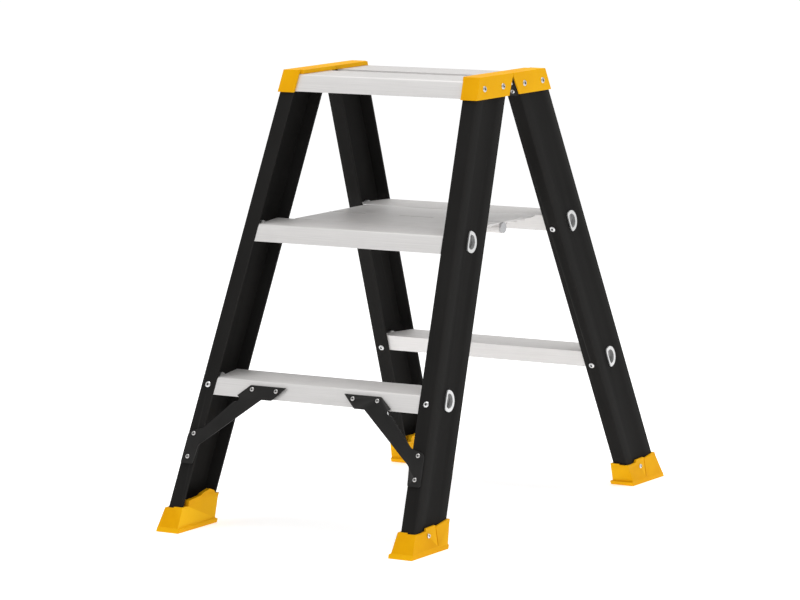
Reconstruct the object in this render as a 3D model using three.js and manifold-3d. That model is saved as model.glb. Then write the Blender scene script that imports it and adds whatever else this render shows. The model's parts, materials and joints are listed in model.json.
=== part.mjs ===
// Double-sided step ladder with a folding middle platform.
// Millimetres, +Z up, floor at z = 0. X runs along the treads, the front frame stands on -Y.
import * as THREE from 'three';
import { mergeVertices } from 'three/addons/utils/BufferGeometryUtils.js';
import Module from 'manifold-3d';

const wasm = await Module();
wasm.setup();

// ---------------------------------------------------------------- driving dimensions
const LEAN = THREE.MathUtils.degToRad(22.65); // each frame from upright, ladder open
const SPLAY = THREE.MathUtils.degToRad(4.03); // each rail from upright, seen from the front
const APEX_Z = 856; // where the frames' inner planes would meet
const FLOOR_HALF_WIDTH = 272; // centre to the outside of a rail's web, at the floor
const TREAD_Z = { lower: 276, middle: 552, top: 825 }; // standing surfaces

const RAIL_DEPTH = 99; // across a rail's web, square to the rail
const FLANGE = 30; // web's outside to a flange's free edge
const WALL = 4.5;
const WEB_RELIEF = 1.5; // shallow channel down the outside of the web
const RAIL_FOOT_Z = 6.3;
const RAIL_TOP_Z = 829;

const TREAD_DROP = 31.5; // height of a tread's front and back lips
const TREAD_SKIN = 2.6;
const LIP_SETBACK = 2; // tread's front face behind the flange's face
const TREAD_BACK_GAP = 5.3; // tread's back face inside the frame's inner plane
const GROOVE = { width: 2.6, pitch: 8.4, depth: 0.8, count: 11 };

const GAP = 0.3; // between touching pieces
const PLAY = 0.25; // each knuckle short of its share of a hinge
const CAP = { wall: 3, bottom: 792, top: 833, reach: 38, overTread: 0.4, overEnd: 2.6 };
const CAP_MOUTH = { top: 828.5, half: 19 }; // the open V between the front and rear caps
// A boot's shell widens down to its sole, most on the inner side; the sole's lip stands proud
const BOOT = { wall: 4, floor: 6, sole: 9, lip: 4, flareTop: 45 };
const BOOT_FLARE = { outer: 2.5, inner: 5, front: 5, back: 1.5 };

const HINGE_Z = 824.5; // axis of the fold, at y = 0
const HINGE = { knuckle: 5, bore: 2.8, pin: 2.4, plate: 3.2, bottom: 788, inner: 187, outer: 211 };

// Half-round tube: body, wider collar through the web, rim outside it; half is along the rail
const TUBE = { half: 9.5, width: 14, wall: 2, drop: 14.3, rim: 2.5, collarLength: 9 };
const COLLAR = { half: 15, width: 21.5, wall: 1.4 };
const RIM = { half: 20, width: 29 };

const DECK = { half: 190, skin: 3, rib: 7, edgeGap: 6, taper: 15, edge: 1.2 };
const DECK_PIVOT = { y: 127, drop: 4.5, knuckle: 4.5, bore: 2.3, pin: 2, half: 150 };
const DECK_BARREL = { drop: 10.3, radius: 10.3, bore: 6.4, rod: 6, head: 10.1, headWidth: 3.6 };

const BRACE_PLATE = 3;

// ---------------------------------------------------------------- derived dimensions
const LEAN_SLOPE = Math.tan(LEAN);
const SPLAY_SLOPE = Math.tan(SPLAY);
const FLOOR_INNER = APEX_Z * LEAN_SLOPE; // inner plane's distance from the middle, at the floor
const LEVEL_DEPTH = RAIL_DEPTH / Math.cos(LEAN); // rail depth measured level
const LEVEL_WALL = WALL / Math.cos(LEAN);

const innerY = (z) => (APEX_Z - z) * LEAN_SLOPE;
const outerY = (z) => innerY(z) + LEVEL_DEPTH;
const webX = (z) => FLOOR_HALF_WIDTH - z * SPLAY_SLOPE;

// side: +1 right, -1 left; end: -1 front frame, +1 rear frame
const SIDES = { left: -1, right: 1 };
const ENDS = { front: -1, rear: 1 };

// ---------------------------------------------------------------- shapes and solids
// A closed outline through [u, v, radius] points; a corner with a radius is rounded.
function outline(points) {
  const shape = new THREE.Shape();
  const near = (from, to, distance) => {
    const start = new THREE.Vector2(from[0], from[1]);
    const step = new THREE.Vector2(to[0], to[1]).sub(start).setLength(distance);
    return start.add(step);
  };
  points.forEach((point, i) => {
    const radius = point[2] ?? 0;
    const before = near(point, points[(i + points.length - 1) % points.length], radius);
    if (i === 0) shape.moveTo(before.x, before.y);
    else shape.lineTo(before.x, before.y);
    if (radius > 0) {
      const after = near(point, points[(i + 1) % points.length], radius);
      shape.quadraticCurveTo(point[0], point[1], after.x, after.y);
    }
  });
  return shape;
}

const rectangle = (u0, v0, u1, v1) => outline([[u0, v0], [u1, v0], [u1, v1], [u0, v1]]);

function disc(u, v, radius) {
  const shape = new THREE.Shape();
  shape.absarc(u, v, radius, 0, 2 * Math.PI);
  return shape;
}

function extrude(shape, length, segments = 4) {
  return new THREE.ExtrudeGeometry(shape, { depth: length, bevelEnabled: false, curveSegments: segments });
}

// An outline drawn in plan (x, y) and raised from z0 to z1
function alongZ(shape, z0, z1, segments) {
  return extrude(shape, z1 - z0, segments).translate(0, 0, z0);
}

// An outline drawn in side view (y, z) and run from x0 to x1
function alongX(shape, x0, x1, segments) {
  const turn = new THREE.Matrix4().set(0, 0, 1, x0, 1, 0, 0, 0, 0, 1, 0, 0, 0, 0, 0, 1);
  return extrude(shape, x1 - x0, segments).applyMatrix4(turn);
}

// An outline drawn in front view (x, z) and run from y0 to y1
function alongY(shape, y0, y1, segments) {
  const turn = new THREE.Matrix4().set(1, 0, 0, 0, 0, 0, -1, y1, 0, 1, 0, 0, 0, 0, 0, 1);
  return extrude(shape, y1 - y0, segments).applyMatrix4(turn);
}

const roundBar = (y, z, radius, x0, x1) => alongX(disc(y, z, radius), x0, x1, 24);

// Leans an upright geometry with the rail on the given side and end
function leaned(geometry, side, end) {
  const lean = new THREE.Matrix4().set(
    1, 0, -side * SPLAY_SLOPE, 0,
    0, 1, -end * LEAN_SLOPE, 0,
    0, 0, 1, 0,
    0, 0, 0, 1,
  );
  return geometry.applyMatrix4(lean);
}

function solid(geometry) {
  const bare = geometry.clone();
  bare.deleteAttribute('normal');
  bare.deleteAttribute('uv');
  const merged = mergeVertices(bare, 1e-4);
  return new wasm.Manifold(new wasm.Mesh({
    numProp: 3,
    vertProperties: new Float32Array(merged.attributes.position.array),
    triVerts: new Uint32Array(merged.index.array),
  }));
}

function join(...geometries) {
  return geometries.map(solid).reduce((whole, piece) => whole.add(piece));
}

function cut(body, ...geometries) {
  return geometries.map(solid).reduce((rest, tool) => rest.subtract(tool), body);
}

function geometryOf(body) {
  const { vertProperties, triVerts } = body.getMesh();
  const geometry = new THREE.BufferGeometry();
  geometry.setAttribute('position', new THREE.BufferAttribute(vertProperties, 3));
  geometry.setIndex(new THREE.BufferAttribute(triVerts, 1));
  const faceted = geometry.toNonIndexed();
  faceted.computeVertexNormals();
  return faceted;
}

// ---------------------------------------------------------------- materials
const finish = {
  rail: { color: 0x1f1e1d, roughness: 0.45, metalness: 0 },
  tread: { color: 0xcfcac6, roughness: 0.4, metalness: 0.8 },
  moulding: { color: 0xf0aa12, roughness: 0.5, metalness: 0 },
  brace: { color: 0x262424, roughness: 0.5, metalness: 0.4 },
  rivet: { color: 0xd4d4d4, roughness: 0.3, metalness: 0.9 },
  steel: { color: 0x9b9b9b, roughness: 0.35, metalness: 0.9 },
};

const ladder = new THREE.Group();

function add(name, geometry, finishName) {
  const mesh = new THREE.Mesh(geometry, new THREE.MeshStandardMaterial(finish[finishName]));
  mesh.name = name;
  ladder.add(mesh);
  return mesh;
}

// ---------------------------------------------------------------- rivets
// A rivet site: a point on a face, the way out of that face, and the thickness it grips.
function site(name, point, outward, grip) {
  return { name, point: new THREE.Vector3(...point), outward: new THREE.Vector3(...outward), grip };
}

const outOfWeb = (side) => [side * Math.cos(SPLAY), 0, Math.sin(SPLAY)];
const outOfFlange = (end) => [0, end * Math.cos(LEAN), Math.sin(LEAN)];
const outOfInnerFlange = (end) => [0, -end * Math.cos(LEAN), -Math.sin(LEAN)];

const RIVET = { shank: 2.4, hole: 2.8, head: 6, crown: 2.2, tail: 1.5 };

function placed(geometry, { point, outward }) {
  const turn = new THREE.Quaternion().setFromUnitVectors(new THREE.Vector3(0, 1, 0), outward);
  return geometry.applyQuaternion(turn).translate(point.x, point.y, point.z);
}

function rivetHole(place) {
  const reach = place.grip + 8;
  const drill = new THREE.CylinderGeometry(RIVET.hole, RIVET.hole, reach, 12);
  return placed(drill.translate(0, 4 - reach / 2, 0), place);
}

function rivet(place) {
  const { shank, head, crown, tail } = RIVET;
  const profile = [
    [0, -place.grip - tail], [shank, -place.grip - tail], [shank, GAP],
    [head, GAP], [head * 0.94, crown * 0.5], [head * 0.7, crown * 0.9], [head * 0.35, crown], [0, crown],
  ];
  const points = profile.map(([radius, height]) => new THREE.Vector2(radius, height));
  return placed(new THREE.LatheGeometry(points, 16), place);
}

const rivetSites = [];
for (const [sideName, side] of Object.entries(SIDES)) {
  const flangeX = (z) => side * (webX(z) - FLANGE / 2);
  const braceGrip = BRACE_PLATE + WALL + GAP;
  const onPlate = (x, z) => [side * x, -outerY(z) - (BRACE_PLATE + GAP) / Math.cos(LEAN), z];
  rivetSites.push(
    site(`brace_rivet_${sideName}_tread_inner`, onPlate(84, 261), outOfFlange(-1), BRACE_PLATE + 5),
    site(`brace_rivet_${sideName}_tread_outer`, onPlate(137, 261), outOfFlange(-1), BRACE_PLATE + 5),
    site(`brace_rivet_${sideName}_rail_upper`, onPlate(245, 175), outOfFlange(-1), braceGrip),
    site(`brace_rivet_${sideName}_rail_lower`, onPlate(248, 134), outOfFlange(-1), braceGrip),
    site(`tread_rivet_front_${sideName}`, [flangeX(262), -outerY(262), 262], outOfFlange(-1), WALL),
  );
  for (const level of ['lower', 'middle']) {
    const z = TREAD_Z[level] - 27;
    const name = `tread_rivet_rear_${level}_${sideName}`;
    const grip = WALL + TREAD_SKIN + 0.8;
    rivetSites.push(site(name, [flangeX(z), innerY(z), z], outOfInnerFlange(1), grip));
  }
  for (const [endName, end] of Object.entries(ENDS)) {
    const z = 34;
    const y = end * (innerY(z) + LEVEL_DEPTH / 2) - 13;
    const flare = BOOT_FLARE.outer * (BOOT.flareTop - z) / (BOOT.flareTop - BOOT.sole);
    const standOff = BOOT.wall + flare + 0.8;
    const x = side * (webX(z) + standOff / Math.cos(SPLAY));
    rivetSites.push(site(`boot_rivet_${endName}_${sideName}`, [x, y, z], outOfWeb(side), standOff + WALL));
  }
}

const drillFor = (word) => rivetSites.filter(({ name }) => name.includes(word)).map(rivetHole);

// ---------------------------------------------------------------- rails
// In a rail's plan, in is the way in from the web's outside and back is the way out from the
// frame's inner plane, both level. This turns them into x and y at the floor.
function railPlan(side, end, points) {
  return outline(points.map(([inward, back, radius]) => [
    side * (FLOOR_HALF_WIDTH - inward), end * (FLOOR_INNER + back), radius,
  ]));
}

// The channel section; grow thickens it all round, for the pocket that receives it
function railSection(side, end, grow = 0) {
  const far = LEVEL_DEPTH + grow;
  const shoulder = 24;
  const slope = 6;
  const relief = grow > 0 ? 0 : WEB_RELIEF;
  return railPlan(side, end, [
    [FLANGE + grow, -grow, 1.2], [-grow, -grow, 3], [-grow, shoulder], [relief - grow, shoulder + slope],
    [relief - grow, LEVEL_DEPTH - shoulder - slope], [-grow, LEVEL_DEPTH - shoulder], [-grow, far, 3],
    [FLANGE + grow, far, 1.2], [FLANGE + grow, far - LEVEL_WALL - 2 * grow],
    [WALL + grow, far - LEVEL_WALL - 2 * grow, 2], [WALL + grow, LEVEL_WALL + grow, 2],
    [FLANGE + grow, LEVEL_WALL + grow],
  ]);
}

// A rounded D: its flat runs along the rail and always faces -Y, its bow faces +Y
function dShape(end, y, z, half, width) {
  const along = new THREE.Vector2(-end * Math.sin(LEAN), Math.cos(LEAN));
  const across = new THREE.Vector2(Math.cos(LEAN), end * Math.sin(LEAN));
  const steps = 28;
  const flatDepth = 0.38 * width;
  const flatness = 0.45;
  const points = Array.from({ length: steps }, (_, i) => {
    const angle = (2 * Math.PI * i) / steps;
    const [cosine, sine] = [Math.cos(angle), Math.sin(angle)];
    const isBow = sine >= 0;
    const u = half * (isBow ? cosine : Math.sign(cosine) * Math.abs(cosine) ** flatness);
    const v = isBow ? (width - flatDepth) * sine : -flatDepth * Math.abs(sine) ** flatness;
    return new THREE.Vector2(y + u * along.x + v * across.x, z + u * along.y + v * across.y);
  });
  return new THREE.Shape(points);
}

const tubeZ = (level) => TREAD_Z[level] - TUBE.drop;
const tubeY = (level, end) => end * (innerY(tubeZ(level)) + LEVEL_DEPTH / 2);

function tubeSection(level, end, half, width) {
  return dShape(end, tubeY(level, end), tubeZ(level), half, width);
}

function rail(side, end, sideName, endName) {
  const channel = leaned(alongZ(railSection(side, end), RAIL_FOOT_Z, RAIL_TOP_Z), side, end);
  const tubeHoles = ['lower', 'middle'].map((level) => {
    const shape = tubeSection(level, end, COLLAR.half + 0.5, COLLAR.width + 1);
    const x = webX(tubeZ(level));
    return alongX(shape, side > 0 ? x - 20 : -x - 20, side > 0 ? x + 20 : -x + 20);
  });
  const words = [`boot_rivet_${endName}_${sideName}`];
  if (end < 0) words.push(`brace_rivet_${sideName}_rail`, `tread_rivet_front_${sideName}`);
  else words.push('tread_rivet_rear');
  const body = cut(solid(channel), ...tubeHoles, ...words.flatMap(drillFor));
  add(`${endName}_rail_${sideName}`, geometryOf(body), 'rail');
}

// ---------------------------------------------------------------- treads
// A grooved top with leaning lips turned in at the bottom; lip offsets are level distances
function treadSection(end, top, frontFace, backFace) {
  const bottom = top - TREAD_DROP;
  const under = top - TREAD_SKIN;
  const turnIn = 9;
  const fold = bottom + TREAD_SKIN;
  const wall = TREAD_SKIN;
  const points = [[backFace(bottom), bottom, 1], [backFace(top), top, 1.2]];
  const middle = (backFace(top) + frontFace(top)) / 2;
  for (let i = 0; i < GROOVE.count; i += 1) {
    const y = middle + (i - (GROOVE.count - 1) / 2) * GROOVE.pitch;
    const half = GROOVE.width / 2;
    points.push([y - half, top], [y - half, top - GROOVE.depth], [y + half, top - GROOVE.depth], [y + half, top]);
  }
  points.push(
    [frontFace(top), top, 5], [frontFace(bottom), bottom, 1],
    [frontFace(bottom) - turnIn, bottom], [frontFace(fold) - turnIn, fold],
    [frontFace(fold) - wall, fold], [frontFace(under) - wall, under],
    [backFace(under) + wall, under], [backFace(fold) + wall, fold],
    [backFace(fold) + turnIn, fold], [backFace(bottom) + turnIn, bottom],
  );
  return outline(points.map(([y, z, radius]) => [end * y, z, radius]));
}

// A tread's trimmed plan, from the flange's edge at the front to the web at the back, raised
// between the levels and splayed with the rails on both sides
function treadTrim(end, top, backY) {
  const front = webX(top) - FLANGE - 1.2;
  const back = webX(top) - WALL - 2.5;
  const frontY = end * (outerY(top - TREAD_DROP) + 5);
  const half = [
    [front, frontY], [front, end * (outerY(top) - LIP_SETBACK)],
    [back, end * backY], [back, end * (backY - 40)],
  ];
  const mirrored = half.map(([x, y]) => [-x, y]).reverse();
  const prism = alongZ(outline([...half, ...mirrored]), top - TREAD_DROP - 1, top + 1);
  const position = prism.attributes.position;
  for (let i = 0; i < position.count; i += 1) {
    const x = position.getX(i);
    position.setX(i, x + Math.sign(x) * (top - position.getZ(i)) * SPLAY_SLOPE);
  }
  return prism;
}

function tread(level, end, endName) {
  const top = TREAD_Z[level];
  const frontFace = (z) => outerY(z) - LIP_SETBACK;
  const backFace = (z) => innerY(z) + TREAD_BACK_GAP;
  const span = webX(0);
  const bar = solid(alongX(treadSection(end, top, frontFace, backFace), -span, span));
  const trim = solid(treadTrim(end, top, backFace(top)));
  const holes = drillFor(end < 0 && level === 'lower' ? '_tread_' : `rivet_${endName}_${level}`);
  add(`${endName}_tread_${level}`, geometryOf(cut(bar.intersect(trim), ...holes)), 'tread');
}

// ---------------------------------------------------------------- swaged tubes
// A half-round tube under a tread, through both webs, with a flared rim outside each
function swagedTube(level, end, endName) {
  const z = tubeZ(level);
  const outside = webX(z) - WEB_RELIEF + GAP;
  const tip = outside + TUBE.rim;
  const inside = outside - TUBE.collarLength;
  const barrel = alongX(tubeSection(level, end, TUBE.half, TUBE.width), -inside - 1, inside + 1);
  const bore = tubeSection(level, end, TUBE.half - TUBE.wall, TUBE.width - 2 * TUBE.wall);
  const mouth = tubeSection(level, end, COLLAR.half - COLLAR.wall, COLLAR.width - 2 * COLLAR.wall);
  const added = [barrel];
  const removed = [alongX(bore, -tip - 5, tip + 5)];
  for (const side of Object.values(SIDES)) {
    const run = (shape, near, far) => alongX(shape, ...(side > 0 ? [near, far] : [-far, -near]));
    const splay = new THREE.Matrix4().makeShear(0, 0, 0, 0, -side * SPLAY_SLOPE, 0);
    const rim = run(tubeSection(level, end, RIM.half, RIM.width), outside, tip);
    added.push(
      run(tubeSection(level, end, COLLAR.half, COLLAR.width), inside, outside + 1),
      rim.translate(0, 0, -z).applyMatrix4(splay).translate(0, 0, z),
    );
    removed.push(run(mouth, inside + 2, tip + 5));
  }
  add(`${endName}_tube_${level}`, geometryOf(cut(join(...added), ...removed)), 'tread');
}

// ---------------------------------------------------------------- caps
function cap(side, end, sideName, endName) {
  const block = (in0, in1, back0, back1, z0, z1) => leaned(alongZ(railPlan(side, end, [
    [in0, back0], [in1, back0], [in1, back1], [in0, back1],
  ]), z0, z1), side, end);
  const { wall, bottom, top } = CAP;
  const ceiling = RAIL_TOP_Z + 0.8;
  const overTread = TREAD_Z.top + CAP.overTread;
  const far = LEVEL_DEPTH + wall;
  const shell = join(
    block(-wall, FLANGE - 0.5, -60, far, bottom, top),
    block(FLANGE - 1, CAP.reach, -60, far - 8, overTread, top),
  );
  const hollow = [
    block(-GAP, FLANGE + GAP, -70, LEVEL_DEPTH + GAP, bottom - 5, ceiling),
    block(FLANGE - 4, CAP.reach + 5, -70, LEVEL_DEPTH + GAP, bottom - 5, overTread),
  ];
  // What lies behind the mouth, the open V between the front and rear caps
  const mouth = outline([
    [end * -80, bottom - 5], [end * (CAP_MOUTH.half + 2.6), bottom - 5], [end * 0.4, CAP_MOUTH.top],
    [end * 0.4, top + 5], [end * -80, top + 5],
  ]);
  // The front wall turns in beside the flange to meet the tread's lip
  const turnIn = LEVEL_DEPTH - LIP_SETBACK + GAP;
  const lip = block(FLANGE + 0.6, FLANGE + CAP.overEnd, turnIn, far, bottom, top - 1);
  const link = block(FLANGE - 2, FLANGE + CAP.overEnd, LEVEL_DEPTH + GAP, far, bottom, top - 1);
  const body = cut(cut(shell, ...hollow).add(join(lip, link)), alongX(mouth, -300, 300));
  add(`${endName}_cap_${sideName}`, geometryOf(body), 'moulding');
}

// ---------------------------------------------------------------- boots
// Upright box whose plan changes from one rectangle at z0 to another at z1
function tapered(side, end, low, high, z0, z1) {
  const box = new THREE.BoxGeometry(1, 1, 1);
  const position = box.attributes.position;
  for (let i = 0; i < position.count; i += 1) {
    const isHigh = position.getZ(i) > 0;
    const [in0, in1, back0, back1] = isHigh ? high : low;
    const inward = position.getX(i) * side < 0 ? in1 : in0;
    const back = position.getY(i) * end < 0 ? back0 : back1;
    position.setXYZ(
      i, side * (FLOOR_HALF_WIDTH - inward), end * (FLOOR_INNER + back), isHigh ? z1 : z0,
    );
  }
  return leaned(box, side, end);
}

function boot(side, end, sideName, endName) {
  const { wall, floor, sole, lip, flareTop } = BOOT;
  const { outer, inner, front, back } = BOOT_FLARE;
  const height = 66;
  const body = [-wall, FLANGE + wall, -wall, LEVEL_DEPTH + wall];
  const foot = [-wall - outer, FLANGE + wall + inner, -wall - back, LEVEL_DEPTH + wall + front];
  const tread = [foot[0], foot[1] + lip, foot[2] - lip, foot[3] + lip / 4];
  const shell = join(
    tapered(side, end, tread, tread, 0, sole - 2),
    tapered(side, end, tread, foot, sole - 2, sole),
    tapered(side, end, foot, body, sole - 1, flareTop),
    tapered(side, end, body, body, sole, height),
  );
  const pocket = leaned(alongZ(railSection(side, end, GAP), floor, height + 5), side, end);
  const inside = [WALL + 3, FLANGE - 4, LEVEL_WALL + 6, LEVEL_DEPTH - LEVEL_WALL - 6];
  const hollow = tapered(side, end, inside, inside, floor + 8, height + 5);

  // Side view of what stands above the moulding, outside the web and inside the channel.
  // Both profiles run from the -Y face to the +Y face, as the same boot is used on each frame.
  const start = end * (innerY(45) + LEVEL_DEPTH / 2) - LEVEL_DEPTH / 2;
  const above = (profile) => outline([
    [start - 60, profile[0][1]], ...profile.map(([y, z]) => [start + y, z]),
    [start + 180, profile.at(-1)[1]], [start + 180, height + 20], [start - 60, height + 20],
  ]);
  const outerProfile = [[16, 42], [29, 43], [32, 48], [62, 49], [66, 46], [106, 52]];
  const innerProfile = [[0, 44], [15, 44], [18, 54], [56, 58], [60, 61], [84, 66], [98, 61], [104, 54]];
  const split = side * (webX(40) - FLANGE / 2);
  const outside = side * (webX(40) + 60);
  const inboard = side * (webX(40) - 90);
  const span = (a, b) => [Math.min(a, b), Math.max(a, b)];
  const splay = new THREE.Matrix4().makeShear(0, 0, 0, 0, -side * SPLAY_SLOPE, 0);
  const grooveFloor = side * (FLOOR_HALF_WIDTH + wall - 0.9);
  const groove = alongX(
    rectangle(start + 63, 11, start + 65.4, 60), ...span(grooveFloor, grooveFloor + side * 9),
  ).applyMatrix4(splay);
  const rivetWord = `boot_rivet_${endName}_${sideName}`;
  const body3d = cut(
    shell, pocket, hollow, groove,
    alongX(above(outerProfile), ...span(split, outside)),
    alongX(above(innerProfile), ...span(split, inboard)),
    ...drillFor(rivetWord),
  );
  add(`${endName}_boot_${sideName}`, geometryOf(body3d), 'moulding');
}

// ---------------------------------------------------------------- fold hinges
function foldHinge(side, end, sideName, endName) {
  const onPlane = (z, off) => end * (innerY(z) - off);
  const plateTop = 825;
  const plate = outline([
    [onPlane(HINGE.bottom, GAP), HINGE.bottom], [onPlane(plateTop, GAP), plateTop],
    [onPlane(plateTop, HINGE.plate), plateTop], [onPlane(HINGE.bottom, HINGE.plate), HINGE.bottom],
  ]);
  const arm = outline([
    [onPlane(HINGE_Z - 4, GAP), HINGE_Z - 4], [onPlane(HINGE_Z + 3, GAP), HINGE_Z + 3],
    [0, HINGE_Z + 3], [0, HINGE_Z - 4],
  ]);
  const { inner, outer } = HINGE;
  const play = 0.4;
  const third = (outer - inner) / 3;
  const spans = end < 0
    ? [[inner, inner + third - play], [outer - third + play, outer]]
    : [[inner + third, outer - third]];
  const placeX = ([x0, x1]) => (side > 0 ? [x0, x1] : [-x1, -x0]);
  const pieces = [alongX(plate, ...placeX([inner, outer]))];
  for (const span of spans) {
    pieces.push(alongX(arm, ...placeX(span)), roundBar(0, HINGE_Z, HINGE.knuckle, ...placeX(span)));
  }
  const bore = roundBar(0, HINGE_Z, HINGE.bore, ...placeX([inner - 1, outer + 1]));
  add(`${endName}_hinge_leaf_${sideName}`, geometryOf(cut(join(...pieces), bore)), 'brace');
  if (end < 0) {
    const pin = roundBar(0, HINGE_Z, HINGE.pin, ...placeX([inner - 1, outer + 1]));
    add(`hinge_pin_${sideName}`, pin, 'steel');
  }
}

// ---------------------------------------------------------------- braces
// Flat plate from the lower tread's front lip down to the rail's front flange
function brace(side, sideName) {
  const inset = 2.5;
  const railX = (z) => webX(z) - inset;
  const shape = outline([
    [64, 268], [142, 268], [167, 248.5], [160.5, 244.5, 3], [163.5, 238, 3], [172, 237], [railX(186) - 30, 186, 4],
    [railX(178), 178, 8], [railX(122), 122, 3], [railX(122) - 26, 122, 3], [railX(155) - 28, 155, 4],
    [113, 244], [91, 244],
  ].map(([x, z, radius]) => [side * x, z, radius]));
  const level = (BRACE_PLATE + GAP) / Math.cos(LEAN);
  const face = -FLOOR_INNER - LEVEL_DEPTH;
  const plate = leaned(alongY(shape, face - level, face - GAP / Math.cos(LEAN)), 0, -1);
  const body = cut(solid(plate), ...drillFor(`brace_rivet_${sideName}`));
  add(`brace_${sideName}`, geometryOf(body), 'brace');
}

// ---------------------------------------------------------------- folding platform
const deckTop = TREAD_Z.middle;
const pivotZ = deckTop - DECK_PIVOT.drop;
const barrelZ = deckTop - DECK_BARREL.drop;

// Equal lengths from -half to half, shared in turn by two pieces; which is 0 or 1
function turns(half, count, which, play) {
  const length = (2 * half) / count;
  return Array.from({ length: count }, (_, i) => i)
    .filter((i) => i % 2 === which)
    .map((i) => [-half + i * length + play, -half + (i + 1) * length - play]);
}

const ribs = (places) => places.map((y) => alongX(
  rectangle(y - 1.5, deckTop - DECK.rib, y + 1.5, deckTop - 1), -DECK.half + 6, DECK.half - 6,
));

function frontLeaf() {
  const { y, knuckle, bore, half } = DECK_PIVOT;
  const { radius } = DECK_BARREL;
  const skin = rectangle(-y, deckTop - DECK.skin, 0, deckTop);
  const others = [
    ...turns(half, 5, 1, -0.5).map((span) => roundBar(-y, pivotZ, knuckle + 0.6, ...span)),
    ...turns(DECK.half, 5, 1, -0.5).map((span) => roundBar(0, barrelZ, radius + 0.6, ...span)),
  ];
  const plate = cut(join(alongX(skin, -DECK.half, DECK.half), ...ribs([-95, -63, -31])), ...others);
  const own = join(
    ...turns(half, 5, 0, PLAY).map((span) => roundBar(-y, pivotZ, knuckle, ...span)),
    ...turns(DECK.half, 5, 0, PLAY).map((span) => roundBar(0, barrelZ, radius, ...span)),
  );
  const body = cut(
    plate.add(own),
    roundBar(-y, pivotZ, bore, -DECK.half - 1, DECK.half + 1),
    roundBar(0, barrelZ, DECK_BARREL.bore, -DECK.half - 1, DECK.half + 1),
  );
  add('platform_front_leaf', geometryOf(body), 'tread');
}

function rearLeaf() {
  const { radius, bore } = DECK_BARREL;
  const edge = innerY(deckTop) + TREAD_BACK_GAP - DECK.edgeGap;
  const skin = outline([
    [0, deckTop - DECK.skin], [edge - DECK.taper, deckTop - DECK.skin], [edge, deckTop - DECK.edge],
    [edge, deckTop], [0, deckTop],
  ]);
  const others = turns(DECK.half, 5, 0, -0.5).map((span) => roundBar(0, barrelZ, radius + 0.6, ...span));
  const plate = cut(join(alongX(skin, -DECK.half, DECK.half), ...ribs([31, 63, 95])), ...others);
  const own = join(...turns(DECK.half, 5, 1, PLAY).map((span) => roundBar(0, barrelZ, radius, ...span)));
  const body = cut(plate.add(own), roundBar(0, barrelZ, bore, -DECK.half - 1, DECK.half + 1));
  add('platform_rear_leaf', geometryOf(body), 'tread');
}

function platformRod() {
  const { rod, head, headWidth } = DECK_BARREL;
  const end = DECK.half + GAP;
  const heads = [-end - headWidth, end].map((x) => roundBar(0, barrelZ, head, x, x + headWidth));
  const body = join(roundBar(0, barrelZ, rod, -end - 1, end + 1), ...heads);
  add('platform_rod', geometryOf(body), 'steel');
}

// Strip on the back of the front middle tread that carries the front leaf
function platformHinge() {
  const { y, knuckle, bore, pin, half } = DECK_PIVOT;
  const lipY = (z) => -innerY(z) - TREAD_BACK_GAP;
  const thickness = 2.4;
  const low = deckTop - TREAD_DROP + 5;
  const strip = outline([
    [lipY(low) + GAP, low], [lipY(low) + thickness, low],
    [lipY(pivotZ) + thickness, pivotZ], [lipY(pivotZ) + GAP, pivotZ],
  ]);
  const spans = turns(half, 5, 1, PLAY);
  const link = outline([
    [lipY(pivotZ - 4) + GAP + 0.1, pivotZ - 4], [-y, pivotZ - 4], [-y, pivotZ], [lipY(pivotZ) + GAP + 0.1, pivotZ],
  ]);
  const pieces = spans.flatMap((span) => [alongX(link, ...span), roundBar(-y, pivotZ, knuckle, ...span)]);
  const body = cut(join(alongX(strip, -half, half), ...pieces), roundBar(-y, pivotZ, bore, -half - 1, half + 1));
  add('platform_hinge_strip', geometryOf(body), 'tread');
  add('platform_hinge_pin', roundBar(-y, pivotZ, pin, -half - 1, half + 1), 'steel');
}

// Angle on the back of the rear middle tread that the rear leaf lands on
function platformLedge() {
  const lipY = (z) => innerY(z) + TREAD_BACK_GAP;
  const thickness = 2.4;
  const top = deckTop - DECK.skin - GAP;
  const low = top - 20;
  const reach = 17;
  const half = 110;
  const section = outline([
    [lipY(low) - GAP, low], [lipY(top) - GAP, top], [lipY(top) - reach, top],
    [lipY(top) - reach, top - thickness], [lipY(top - thickness) - thickness, top - thickness],
    [lipY(low) - thickness, low],
  ]);
  add('platform_ledge', alongX(section, -half, half), 'tread');
}

// ---------------------------------------------------------------- assembly
for (const [endName, end] of Object.entries(ENDS)) {
  for (const [sideName, side] of Object.entries(SIDES)) {
    rail(side, end, sideName, endName);
    cap(side, end, sideName, endName);
    boot(side, end, sideName, endName);
    foldHinge(side, end, sideName, endName);
  }
  for (const level of Object.keys(TREAD_Z)) tread(level, end, endName);
  for (const level of ['lower', 'middle']) swagedTube(level, end, endName);
}
for (const [sideName, side] of Object.entries(SIDES)) brace(side, sideName);
frontLeaf();
rearLeaf();
platformRod();
platformHinge();
platformLedge();
for (const place of rivetSites) add(place.name, rivet(place), 'rivet');

export default ladder;
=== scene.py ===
"""Looks for the double-sided step ladder: finishes, rivets, moulded detail, floor, light and camera."""
import json
import math

import bmesh
import bpy
from mathutils import Matrix, Vector


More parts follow.
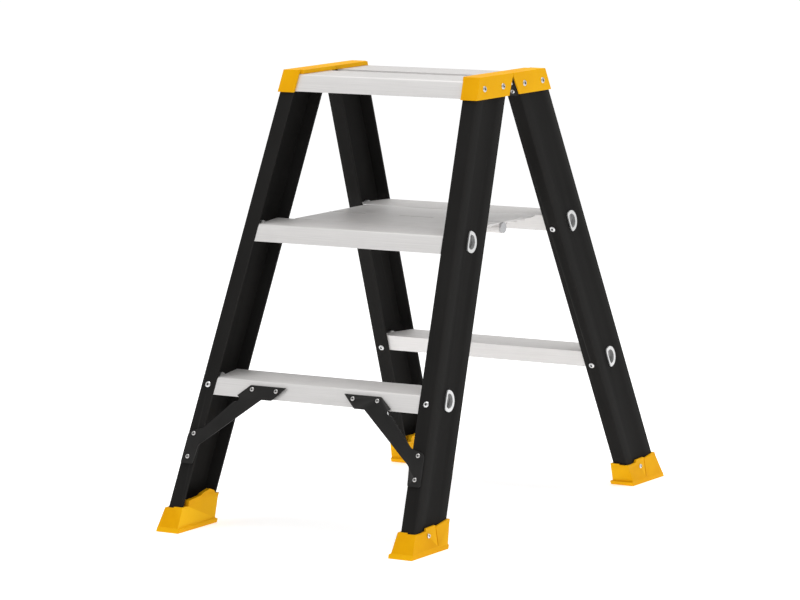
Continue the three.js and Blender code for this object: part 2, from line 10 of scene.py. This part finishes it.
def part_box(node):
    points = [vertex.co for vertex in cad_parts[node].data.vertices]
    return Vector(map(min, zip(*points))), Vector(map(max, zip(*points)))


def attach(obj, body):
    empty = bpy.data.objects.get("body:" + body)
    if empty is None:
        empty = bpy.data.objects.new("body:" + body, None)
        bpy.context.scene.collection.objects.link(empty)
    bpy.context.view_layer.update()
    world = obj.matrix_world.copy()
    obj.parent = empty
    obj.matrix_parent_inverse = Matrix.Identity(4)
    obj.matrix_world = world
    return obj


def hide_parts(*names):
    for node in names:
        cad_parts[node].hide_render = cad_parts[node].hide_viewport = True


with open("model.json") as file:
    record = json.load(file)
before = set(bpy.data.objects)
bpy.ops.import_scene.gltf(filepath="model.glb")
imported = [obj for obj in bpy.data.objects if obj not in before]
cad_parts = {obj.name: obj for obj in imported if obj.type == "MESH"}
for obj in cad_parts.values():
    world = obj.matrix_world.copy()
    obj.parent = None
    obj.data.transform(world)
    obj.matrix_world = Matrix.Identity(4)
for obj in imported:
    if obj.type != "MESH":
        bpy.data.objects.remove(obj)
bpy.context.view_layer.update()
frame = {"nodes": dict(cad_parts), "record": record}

MM = 0.001
SIDES = {"left": -1, "right": 1}
ENDS = {"front": -1, "rear": 1}
BODY = {"front": "front_frame", "rear": "rear_frame"}

# ---------------------------------------------------------------- the frames' planes
LEAN = math.radians(22.65)
SPLAY = math.radians(4.03)
APEX_Z = 856
FLOOR_HALF_WIDTH = 272
LEVEL_DEPTH = 99 / math.cos(LEAN)


def inner_y(z):
    return (APEX_Z - z) * math.tan(LEAN)


def web_x(z):
    return FLOOR_HALF_WIDTH - z * math.tan(SPLAY)


def out_of_web(side):
    return Vector((side * math.cos(SPLAY), 0, math.sin(SPLAY)))


def out_of_flange(end):
    return Vector((0, end * math.cos(LEAN), math.sin(LEAN)))


def out_of_inner_flange(end):
    return -out_of_flange(end)


# ---------------------------------------------------------------- node helpers
class Nodes:
    """A material's node tree with short calls to add and join nodes."""

    def __init__(self, name):
        self.material = bpy.data.materials.new(name)
        self.material.use_nodes = True
        self.tree = self.material.node_tree
        self.shader = self.tree.nodes["Principled BSDF"]

    def add(self, kind, **settings):
        node = self.tree.nodes.new(kind)
        for key, value in settings.items():
            if key in node.inputs:
                node.inputs[key].default_value = value
            else:
                setattr(node, key, value)
        return node

    def link(self, source, target):
        self.tree.links.new(source, target)

    def coordinates(self, scale=(1, 1, 1)):
        place = self.add("ShaderNodeTexCoord")
        mapping = self.add("ShaderNodeMapping")
        mapping.inputs["Scale"].default_value = scale
        self.link(place.outputs["Object"], mapping.inputs["Vector"])
        return mapping.outputs["Vector"]

    def noise(self, scale, stretch=(1, 1, 1), detail=3.0, roughness=0.55):
        node = self.add("ShaderNodeTexNoise", Scale=scale, Detail=detail, Roughness=roughness)
        self.link(self.coordinates(stretch), node.inputs["Vector"])
        return node.outputs["Fac"]

    def spread(self, value, low, high, from_low=0.3, from_high=0.7):
        node = self.add("ShaderNodeMapRange")
        sockets = ("From Min", "From Max", "To Min", "To Max")
        for key, number in zip(sockets, (from_low, from_high, low, high)):
            node.inputs[key].default_value = number
        self.link(value, node.inputs["Value"])
        return node.outputs["Result"]

    def mix(self, factor, first, second, blend="MIX"):
        node = self.add("ShaderNodeMix", data_type="RGBA", blend_type=blend)
        if isinstance(factor, float):
            node.inputs[0].default_value = factor
        else:
            self.link(factor, node.inputs[0])
        for socket, value in ((node.inputs[6], first), (node.inputs[7], second)):
            if isinstance(value, tuple):
                socket.default_value = (*value, 1)
            else:
                self.link(value, socket)
        return node.outputs[2]

    def bump(self, height, distance, strength=1.0, after=None):
        node = self.add("ShaderNodeBump", Strength=strength, Distance=distance)
        self.link(height, node.inputs["Height"])
        if after is not None:
            self.link(after, node.inputs["Normal"])
        return node.outputs["Normal"]

    def edges(self, low=0.51, high=0.6):
        """1 on convex edges, 0 on flats."""
        shape = self.add("ShaderNodeNewGeometry")
        return self.spread(shape.outputs["Pointiness"], 0.0, 1.0, low, high)

    def finish(self, colour=None, rough=None, normal=None, **settings):
        for key, value in settings.items():
            self.shader.inputs[key.replace("_", " ")].default_value = value
        if colour is not None:
            self.link(colour, self.shader.inputs["Base Color"])
        if rough is not None:
            self.link(rough, self.shader.inputs["Roughness"])
        if normal is not None:
            self.link(normal, self.shader.inputs["Normal"])
        return self.material


# ---------------------------------------------------------------- finishes
def coated_rail():
    """Near-black coating over an extrusion: fine peel, faint draw lines, scuffed edges."""
    n = Nodes("rail_coating")
    cloud = n.noise(9, detail=4)
    speckle = n.noise(420, detail=2)
    tone = n.mix(n.spread(cloud, 0.0, 1.0), (0.0110, 0.0106, 0.0102), (0.0155, 0.0150, 0.0145))
    worn = n.mix(n.spread(speckle, 0.0, 0.2, 0.45, 0.75), tone, (0.020, 0.019, 0.018))
    edge = n.mix(n.edges(), worn, (0.03, 0.029, 0.028))
    rough = n.spread(cloud, 0.46, 0.58)
    peel = n.bump(speckle, 0.00012, 0.35)
    lines = n.noise(260, stretch=(1, 1, 0.02), detail=2)
    return n.finish(edge, rough, n.bump(lines, 0.00008, 0.3, peel), Specular_IOR_Level=0.02)


def satin_aluminium(name, light, dark, rough_low, rough_high, metallic):
    """Extruded aluminium with its die lines along X and a few soft handling marks."""
    n = Nodes(name)
    lines = n.noise(900, stretch=(0.012, 1, 1), detail=3)
    bands = n.noise(120, stretch=(0.015, 1, 1), detail=2)
    marks = n.noise(14, detail=5, roughness=0.65)
    tone = n.mix(n.spread(lines, 0.0, 0.55), light, dark)
    tone = n.mix(n.spread(bands, 0.0, 0.5), tone, light)
    tone = n.mix(n.spread(marks, 0.0, 0.25, 0.52, 0.8), tone, dark)
    rough = n.spread(marks, rough_low, rough_high)
    normal = n.bump(lines, 0.00006, 0.35)
    return n.finish(tone, rough, normal, Metallic=metallic)


def moulded_plastic():
    """Yellow-orange moulding: fine spark texture, slight flow variation, lighter rubbed edges."""
    n = Nodes("yellow_moulding")
    flow = n.noise(18, detail=3)
    grain = n.noise(900, detail=2)
    tone = n.mix(n.spread(flow, 0.0, 1.0), (0.745, 0.335, 0.0010), (0.82, 0.40, 0.0015))
    tone = n.mix(n.edges(), tone, (0.95, 0.52, 0.01))
    rough = n.spread(grain, 0.40, 0.55)
    return n.finish(
        tone, rough, n.bump(grain, 0.00010, 0.4), Specular_IOR_Level=0.04,
        Subsurface_Weight=0.04, Subsurface_Radius=(0.004, 0.002, 0.0005),
    )


def black_plate():
    """Thin black powder coat on pressed steel."""
    n = Nodes("brace_coating")
    cloud = n.noise(22, detail=3)
    speckle = n.noise(700, detail=2)
    tone = n.mix(n.spread(cloud, 0.0, 1.0), (0.009, 0.0087, 0.0083), (0.014, 0.0135, 0.013))
    tone = n.mix(n.edges(), tone, (0.04, 0.039, 0.038))
    rough = n.spread(speckle, 0.42, 0.58)
    return n.finish(tone, rough, n.bump(speckle, 0.0001, 0.4), Specular_IOR_Level=0.16)


def bright_metal(name, light, dark, rough_low, rough_high):
    """Small bright metal pieces with a slightly uneven polish; given dark colours it paints shade
    instead, in rivet holes and inside tube ends.
    """
    n = Nodes(name)
    spots = n.noise(500, detail=3)
    tone = n.mix(n.spread(spots, 0.0, 0.6), light, dark)
    rough = n.spread(spots, rough_low, rough_high)
    return n.finish(tone, rough, n.bump(spots, 0.00006, 0.25), Metallic=1.0)


RAIL = coated_rail()
TREAD = satin_aluminium("tread_aluminium", (0.76, 0.745, 0.735), (0.60, 0.585, 0.575), 0.42, 0.54, 0.45)
TUBE = satin_aluminium("tube_aluminium", (0.80, 0.80, 0.80), (0.55, 0.55, 0.55), 0.30, 0.42, 0.9)
YELLOW = moulded_plastic()
BLACK = black_plate()
RIVET = bright_metal("rivet_metal", (0.82, 0.82, 0.82), (0.60, 0.60, 0.61), 0.24, 0.38)
DARK_RIVET = bright_metal("brace_rivet_metal", (0.62, 0.61, 0.60), (0.36, 0.35, 0.35), 0.28, 0.42)
# Much darker than the tube's aluminium: painted shade for the metal inside each tube's mouth
TUBE_INSIDE_SHADE = bright_metal("tube_inside_painted_shade", (0.34, 0.34, 0.34), (0.14, 0.14, 0.14), 0.4, 0.6)
STEEL = bright_metal("pin_steel", (0.55, 0.55, 0.56), (0.34, 0.34, 0.35), 0.28, 0.42)
CAP_RIVET = bright_metal("cap_rivet_metal", (0.66, 0.66, 0.66), (0.34, 0.34, 0.34), 0.26, 0.42)
# Near-black colour for the middle of each rivet: painted shade of the deep hole, which the mesh only
# models as a shallow dish
RIVET_HOLE_SHADE = bright_metal("rivet_hole_painted_shade", (0.09, 0.088, 0.086), (0.03, 0.03, 0.03), 0.45, 0.65)


# ---------------------------------------------------------------- mesh helpers
def soften(obj, width, segments=2, angle=35):
    """Closes a mesh's split faces and rounds its sharp edges without touching the mesh."""
    weld = obj.modifiers.new("weld", "WELD")
    weld.merge_threshold = 0.00001
    bevel = obj.modifiers.new("round", "BEVEL")
    bevel.width = width * MM
    bevel.segments = segments
    bevel.limit_method = "ANGLE"
    bevel.angle_limit = math.radians(angle)
    bevel.harden_normals = True
    bevel.miter_outer = "MITER_ARC"


def smooth(obj):
    for polygon in obj.data.polygons:
        polygon.use_smooth = True


def new_piece(name, mesh, material, body):
    obj = bpy.data.objects.new(name, mesh)
    bpy.context.scene.collection.objects.link(obj)
    obj.data.materials.append(material)
    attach(obj, body)
    return obj


def lathe(name, profile, steps=32):
    """A turned mesh about +Z through (radius, height) points in mm."""
    bm = bmesh.new()
    rings = []
    for radius, height in profile:
        if radius < 1e-6:
            rings.append([bm.verts.new((0, 0, height * MM))])
            continue
        rings.append([
            bm.verts.new((
                radius * MM * math.cos(2 * math.pi * i / steps),
                radius * MM * math.sin(2 * math.pi * i / steps),
                height * MM,
            )) for i in range(steps)
        ])
    for low, high in zip(rings, rings[1:]):
        for i in range(steps):
            after = i + 1
            corners = [
                low[i % len(low)], low[after % len(low)], high[after % len(high)], high[i % len(high)],
            ]
            unique = list(dict.fromkeys(corners))
            if len(unique) > 2:
                bm.faces.new(unique)
    bmesh.ops.recalc_face_normals(bm, faces=bm.faces)
    mesh = bpy.data.meshes.new(name)
    bm.to_mesh(mesh)
    bm.free()
    for polygon in mesh.polygons:
        polygon.use_smooth = True
    return mesh


def facing(point, outward):
    """Places a mesh made about +Z at a point in mm, with +Z turned to outward."""
    turn = outward.to_track_quat("Z", "Y").to_matrix().to_4x4()
    return Matrix.Translation(Vector(point) * MM) @ turn


# ---------------------------------------------------------------- CAD nodes' finishes
ROUNDING = {"rail": 0.5, "tread": 0.45, "moulding": 1.1, "bracket": 0.5, "rivet": 0.3, "steel": 0.4}
FINISH = {
    "rail": RAIL, "tread": TREAD, "moulding": YELLOW, "bracket": BLACK, "rivet": RIVET, "steel": STEEL,
}
slot_of = {part["node"]: part["material_slot"] for part in frame["record"]["subparts"]}

for node_name, node in frame["nodes"].items():
    kind = slot_of[node_name]
    material = TUBE if "_tube_" in node_name else FINISH[kind]
    node.data.materials.clear()
    node.data.materials.append(material)
    with bpy.context.temp_override(object=node, active_object=node, selected_objects=[node]):
        if node.data.has_custom_normals:
            bpy.ops.mesh.customdata_custom_splitnormals_clear()
    smooth(node)
    soften(node, ROUNDING[kind], 3 if kind == "moulding" else 2)

# ---------------------------------------------------------------- rivets
# Half sections of a hollow rivet's head, as (radius, height)
OPEN_RIVET = [
    (0, 0.2), (1.9, 0.2), (2.1, 0.5), (2.3, 1.7), (2.8, 2.3),
    (3.7, 2.2), (4.8, 1.6), (5.6, 0.7), (5.8, 0.25), (5.8, 0),
]
SMALL_RIVET = [(radius * 0.75, height * 0.8) for radius, height in OPEN_RIVET]
# Share of a rivet's radius painted near-black as the shade in its hole
HOLE_SHADE_SHARE = 0.4  # of a rivet's radius
CAD_CROWN = 2.2  # height of a CAD rivet's head
HEAD_SINK = 0.3  # how far a head is let into the face below it
CAP_RIVET_Z = 811
CAP_RIVET_Y = {"inner": 39.4, "outer": 106.5}
CAP_FACE = 3.0  # cap's face outside the web
HINGE_RIVET_X = 202
HINGE_RIVET_Z = {"upper": 812, "lower": 796}
HINGE_FACE = 3.2  # hinge leaf's face inside the frame's inner plane


def make_rivet(name, point, outward, body, material=RIVET, profile=OPEN_RIVET, stands_for=None):
    piece = new_piece(name, lathe(name, profile), material, body)
    piece.data.materials.append(RIVET_HOLE_SHADE)
    # Faces near the axis take the painted shade of the rivet's hole
    hole_shade_radius = HOLE_SHADE_SHARE * profile[-1][0] * MM
    for polygon in piece.data.polygons:
        if polygon.center.xy.length < hole_shade_radius:
            polygon.material_index = 1
    place = facing(point, outward)
    piece.parent = None
    piece.matrix_world = place
    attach(piece, body)
    if stands_for:
        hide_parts(stands_for)
    return piece


def head_seat(node_name, outward):
    """Centre of a CAD rivet's head where it meets its face, in mm."""
    points = [vertex.co / MM for vertex in frame["nodes"][node_name].data.vertices]
    top = max(point.dot(outward) for point in points)
    ring = [point for point in points if point.dot(outward) > top - 0.05]
    return sum(ring, Vector()) / len(ring) - outward * (CAD_CROWN - HEAD_SINK)


def rivet_axis(node_name):
    side = SIDES["left"] if "left" in node_name else SIDES["right"]
    if node_name.startswith("boot_rivet"):
        return out_of_web(side)
    if node_name.startswith("tread_rivet_rear"):
        return out_of_inner_flange(1)
    return out_of_flange(-1)


for node_name in [name for name in frame["nodes"] if "rivet" in name]:
    axis = rivet_axis(node_name)
    is_rear = "_rear_" in node_name
    material = DARK_RIVET if node_name.startswith("brace") else RIVET
    profile = OPEN_RIVET if node_name.startswith("tread") else SMALL_RIVET
    body = BODY["rear" if is_rear else "front"]
    make_rivet(f"{node_name}_head", head_seat(node_name, axis), axis, body, material, profile, node_name)

for end_name, end in ENDS.items():
    for side_name, side in SIDES.items():
        body = BODY[end_name]
        cap_face_x = side * (web_x(CAP_RIVET_Z) + CAP_FACE / math.cos(SPLAY))
        for place, y in CAP_RIVET_Y.items():
            name = f"cap_rivet_{end_name}_{side_name}_{place}"
            make_rivet(name, (cap_face_x, end * y, CAP_RIVET_Z), out_of_web(side), body, CAP_RIVET)
        for place, z in HINGE_RIVET_Z.items():
            name = f"hinge_rivet_{end_name}_{side_name}_{place}"
            point = (side * HINGE_RIVET_X, end * (inner_y(z) - HINGE_FACE), z)
            make_rivet(name, point, out_of_inner_flange(end), body, profile=SMALL_RIVET)

# ---------------------------------------------------------------- pinched tube ends
TUBE_DROP = 14.3  # tube's middle below the tread's top
MOUTH_SINK = 1.5  # tube's mouth inside the web's outer face
DISH = {
    "half": 13.4, "width": 18.4, "flat": 0.38, "square": 0.45,
    "depth": 6.5, "rise": 2.6, "wave": 0.5, "turns": 7,
}
DISH_RINGS = 7
DISH_STEPS = 40
DISH_WALL = 1.2


def tube_end(name, side, end, z, body):
    """The pinched, dished metal a few millimetres inside a swaged tube's mouth, coloured far darker than
    the tube's aluminium as painted shade in the mouth.
    """
    half, width, square = DISH["half"], DISH["width"], DISH["square"]
    flat_depth = DISH["flat"] * width
    along = Vector((0, -end * math.sin(LEAN), math.cos(LEAN)))
    across = Vector((0, math.cos(LEAN), end * math.sin(LEAN)))
    mouth = web_x(z) - MOUTH_SINK
    middle = Vector((0, end * (inner_y(z) + LEVEL_DEPTH / 2), z))
    bm = bmesh.new()
    centre = bm.verts.new((middle + Vector((side * (mouth - DISH["depth"]), 0, 0))) * MM)
    previous = [centre] * DISH_STEPS
    for ring in range(1, DISH_RINGS + 1):
        share = ring / DISH_RINGS
        depth = DISH["depth"] - DISH["rise"] * share ** 3 + DISH["wave"] * math.sin(DISH["turns"] * share)
        current = []
        for i in range(DISH_STEPS):
            angle = 2 * math.pi * i / DISH_STEPS
            cosine, sine = math.cos(angle), math.sin(angle)
            if sine >= 0:
                u, v = half * cosine, (width - flat_depth) * sine
            else:
                u = half * math.copysign(abs(cosine) ** square, cosine)
                v = -flat_depth * abs(sine) ** square
            point = middle + (along * u + across * v) * share + Vector((side * (mouth - depth), 0, 0))
            current.append(bm.verts.new(point * MM))
        for i in range(DISH_STEPS):
            after = (i + 1) % DISH_STEPS
            corners = [previous[i], current[i], current[after], previous[after]]
            bm.faces.new(list(dict.fromkeys(corners)))
        previous = current
    bmesh.ops.recalc_face_normals(bm, faces=bm.faces)
    mesh = bpy.data.meshes.new(name)
    bm.to_mesh(mesh)
    bm.free()
    # The dish takes a dark grey that paints the shade inside the mouth
    piece = new_piece(name, mesh, TUBE_INSIDE_SHADE, body)
    smooth(piece)
    thick = piece.modifiers.new("thickness", "SOLIDIFY")
    thick.thickness = DISH_WALL * MM
    thick.offset = 0


for end_name, end in ENDS.items():
    for level in ("lower", "middle"):
        low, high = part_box(f"{end_name}_tread_{level}")
        for side_name, side in SIDES.items():
            name = f"{end_name}_tube_{level}_{side_name}_end"
            tube_end(name, side, end, high.z / MM - TUBE_DROP, BODY[end_name])

# ---------------------------------------------------------------- floor, light and camera
def plane(name, size, matrix):
    mesh = bpy.data.meshes.new(name)
    half = size / 2
    corners = [(-half, -half, 0), (half, -half, 0), (half, half, 0), (-half, half, 0)]
    mesh.from_pydata(corners, [], [(0, 1, 2, 3)])
    obj = bpy.data.objects.new(name, mesh)
    bpy.context.scene.collection.objects.link(obj)
    obj.matrix_world = matrix
    return obj


floor = plane("floor", 60, Matrix.Translation((0, 0, -0.0005)))
paper = Nodes("floor_paper")
floor.data.materials.append(paper.finish(
    Base_Color=(0.95, 0.95, 0.95, 1), Roughness=0.9, Specular_IOR_Level=0.05,
    Emission_Color=(1, 1, 1, 1), Emission_Strength=0.5,
))

# White behind the object for the camera, dimmer as a light
WORLD_SEEN = 1.0
WORLD_LIGHT = 0.58
world = bpy.data.worlds.new("studio")
world.use_nodes = True
sky = world.node_tree.nodes["Background"]
sky.inputs["Color"].default_value = (1, 1, 1, 1)
ray = world.node_tree.nodes.new("ShaderNodeLightPath")
strength = world.node_tree.nodes.new("ShaderNodeMapRange")
strength.inputs["To Min"].default_value = WORLD_LIGHT
strength.inputs["To Max"].default_value = WORLD_SEEN
world.node_tree.links.new(ray.outputs["Is Camera Ray"], strength.inputs["Value"])
world.node_tree.links.new(strength.outputs["Result"], sky.inputs["Strength"])
bpy.context.scene.world = world


def area_light(name, location, aim, size, watts):
    data = bpy.data.lights.new(name, "AREA")
    data.shape = "SQUARE"
    data.size = size
    data.energy = watts
    light = bpy.data.objects.new(name, data)
    light.location = location
    light.rotation_euler = (Vector(aim) - Vector(location)).to_track_quat("-Z", "Y").to_euler()
    bpy.context.scene.collection.objects.link(light)


area_light("key", (-2.2, -3.0, 3.2), (0, 0, 0.4), 2.2, 9)
area_light("fill", (3.4, -2.2, 2.0), (0, 0, 0.4), 2.6, 1)
area_light("top", (0.2, 0.3, 3.6), (0, 0, 0.4), 2.4, 72)

camera_data = bpy.data.cameras.new("camera")
camera_data.sensor_width = 36
camera_data.lens = 181.6
camera_data.clip_end = 100
camera = bpy.data.objects.new("camera", camera_data)
target = Vector((-58.7, 35.2, 383.9)) * MM
azimuth = math.radians(31.998)
elevation = math.radians(8.024)
roll = math.radians(-0.567)
distance = 7.738
level = math.cos(elevation)
back = Vector((math.sin(azimuth) * level, -math.cos(azimuth) * level, math.sin(elevation)))
right = Vector((math.cos(azimuth), math.sin(azimuth), 0))
up = back.cross(right)
tilted_right = right * math.cos(roll) + up * math.sin(roll)
tilted_up = back.cross(tilted_right)
turn = Matrix((tilted_right, tilted_up, back)).transposed().to_4x4()
camera.matrix_world = Matrix.Translation(target + back * distance) @ turn
bpy.context.scene.collection.objects.link(camera)
bpy.context.scene.camera = camera
bpy.context.scene.view_settings.view_transform = "Standard"
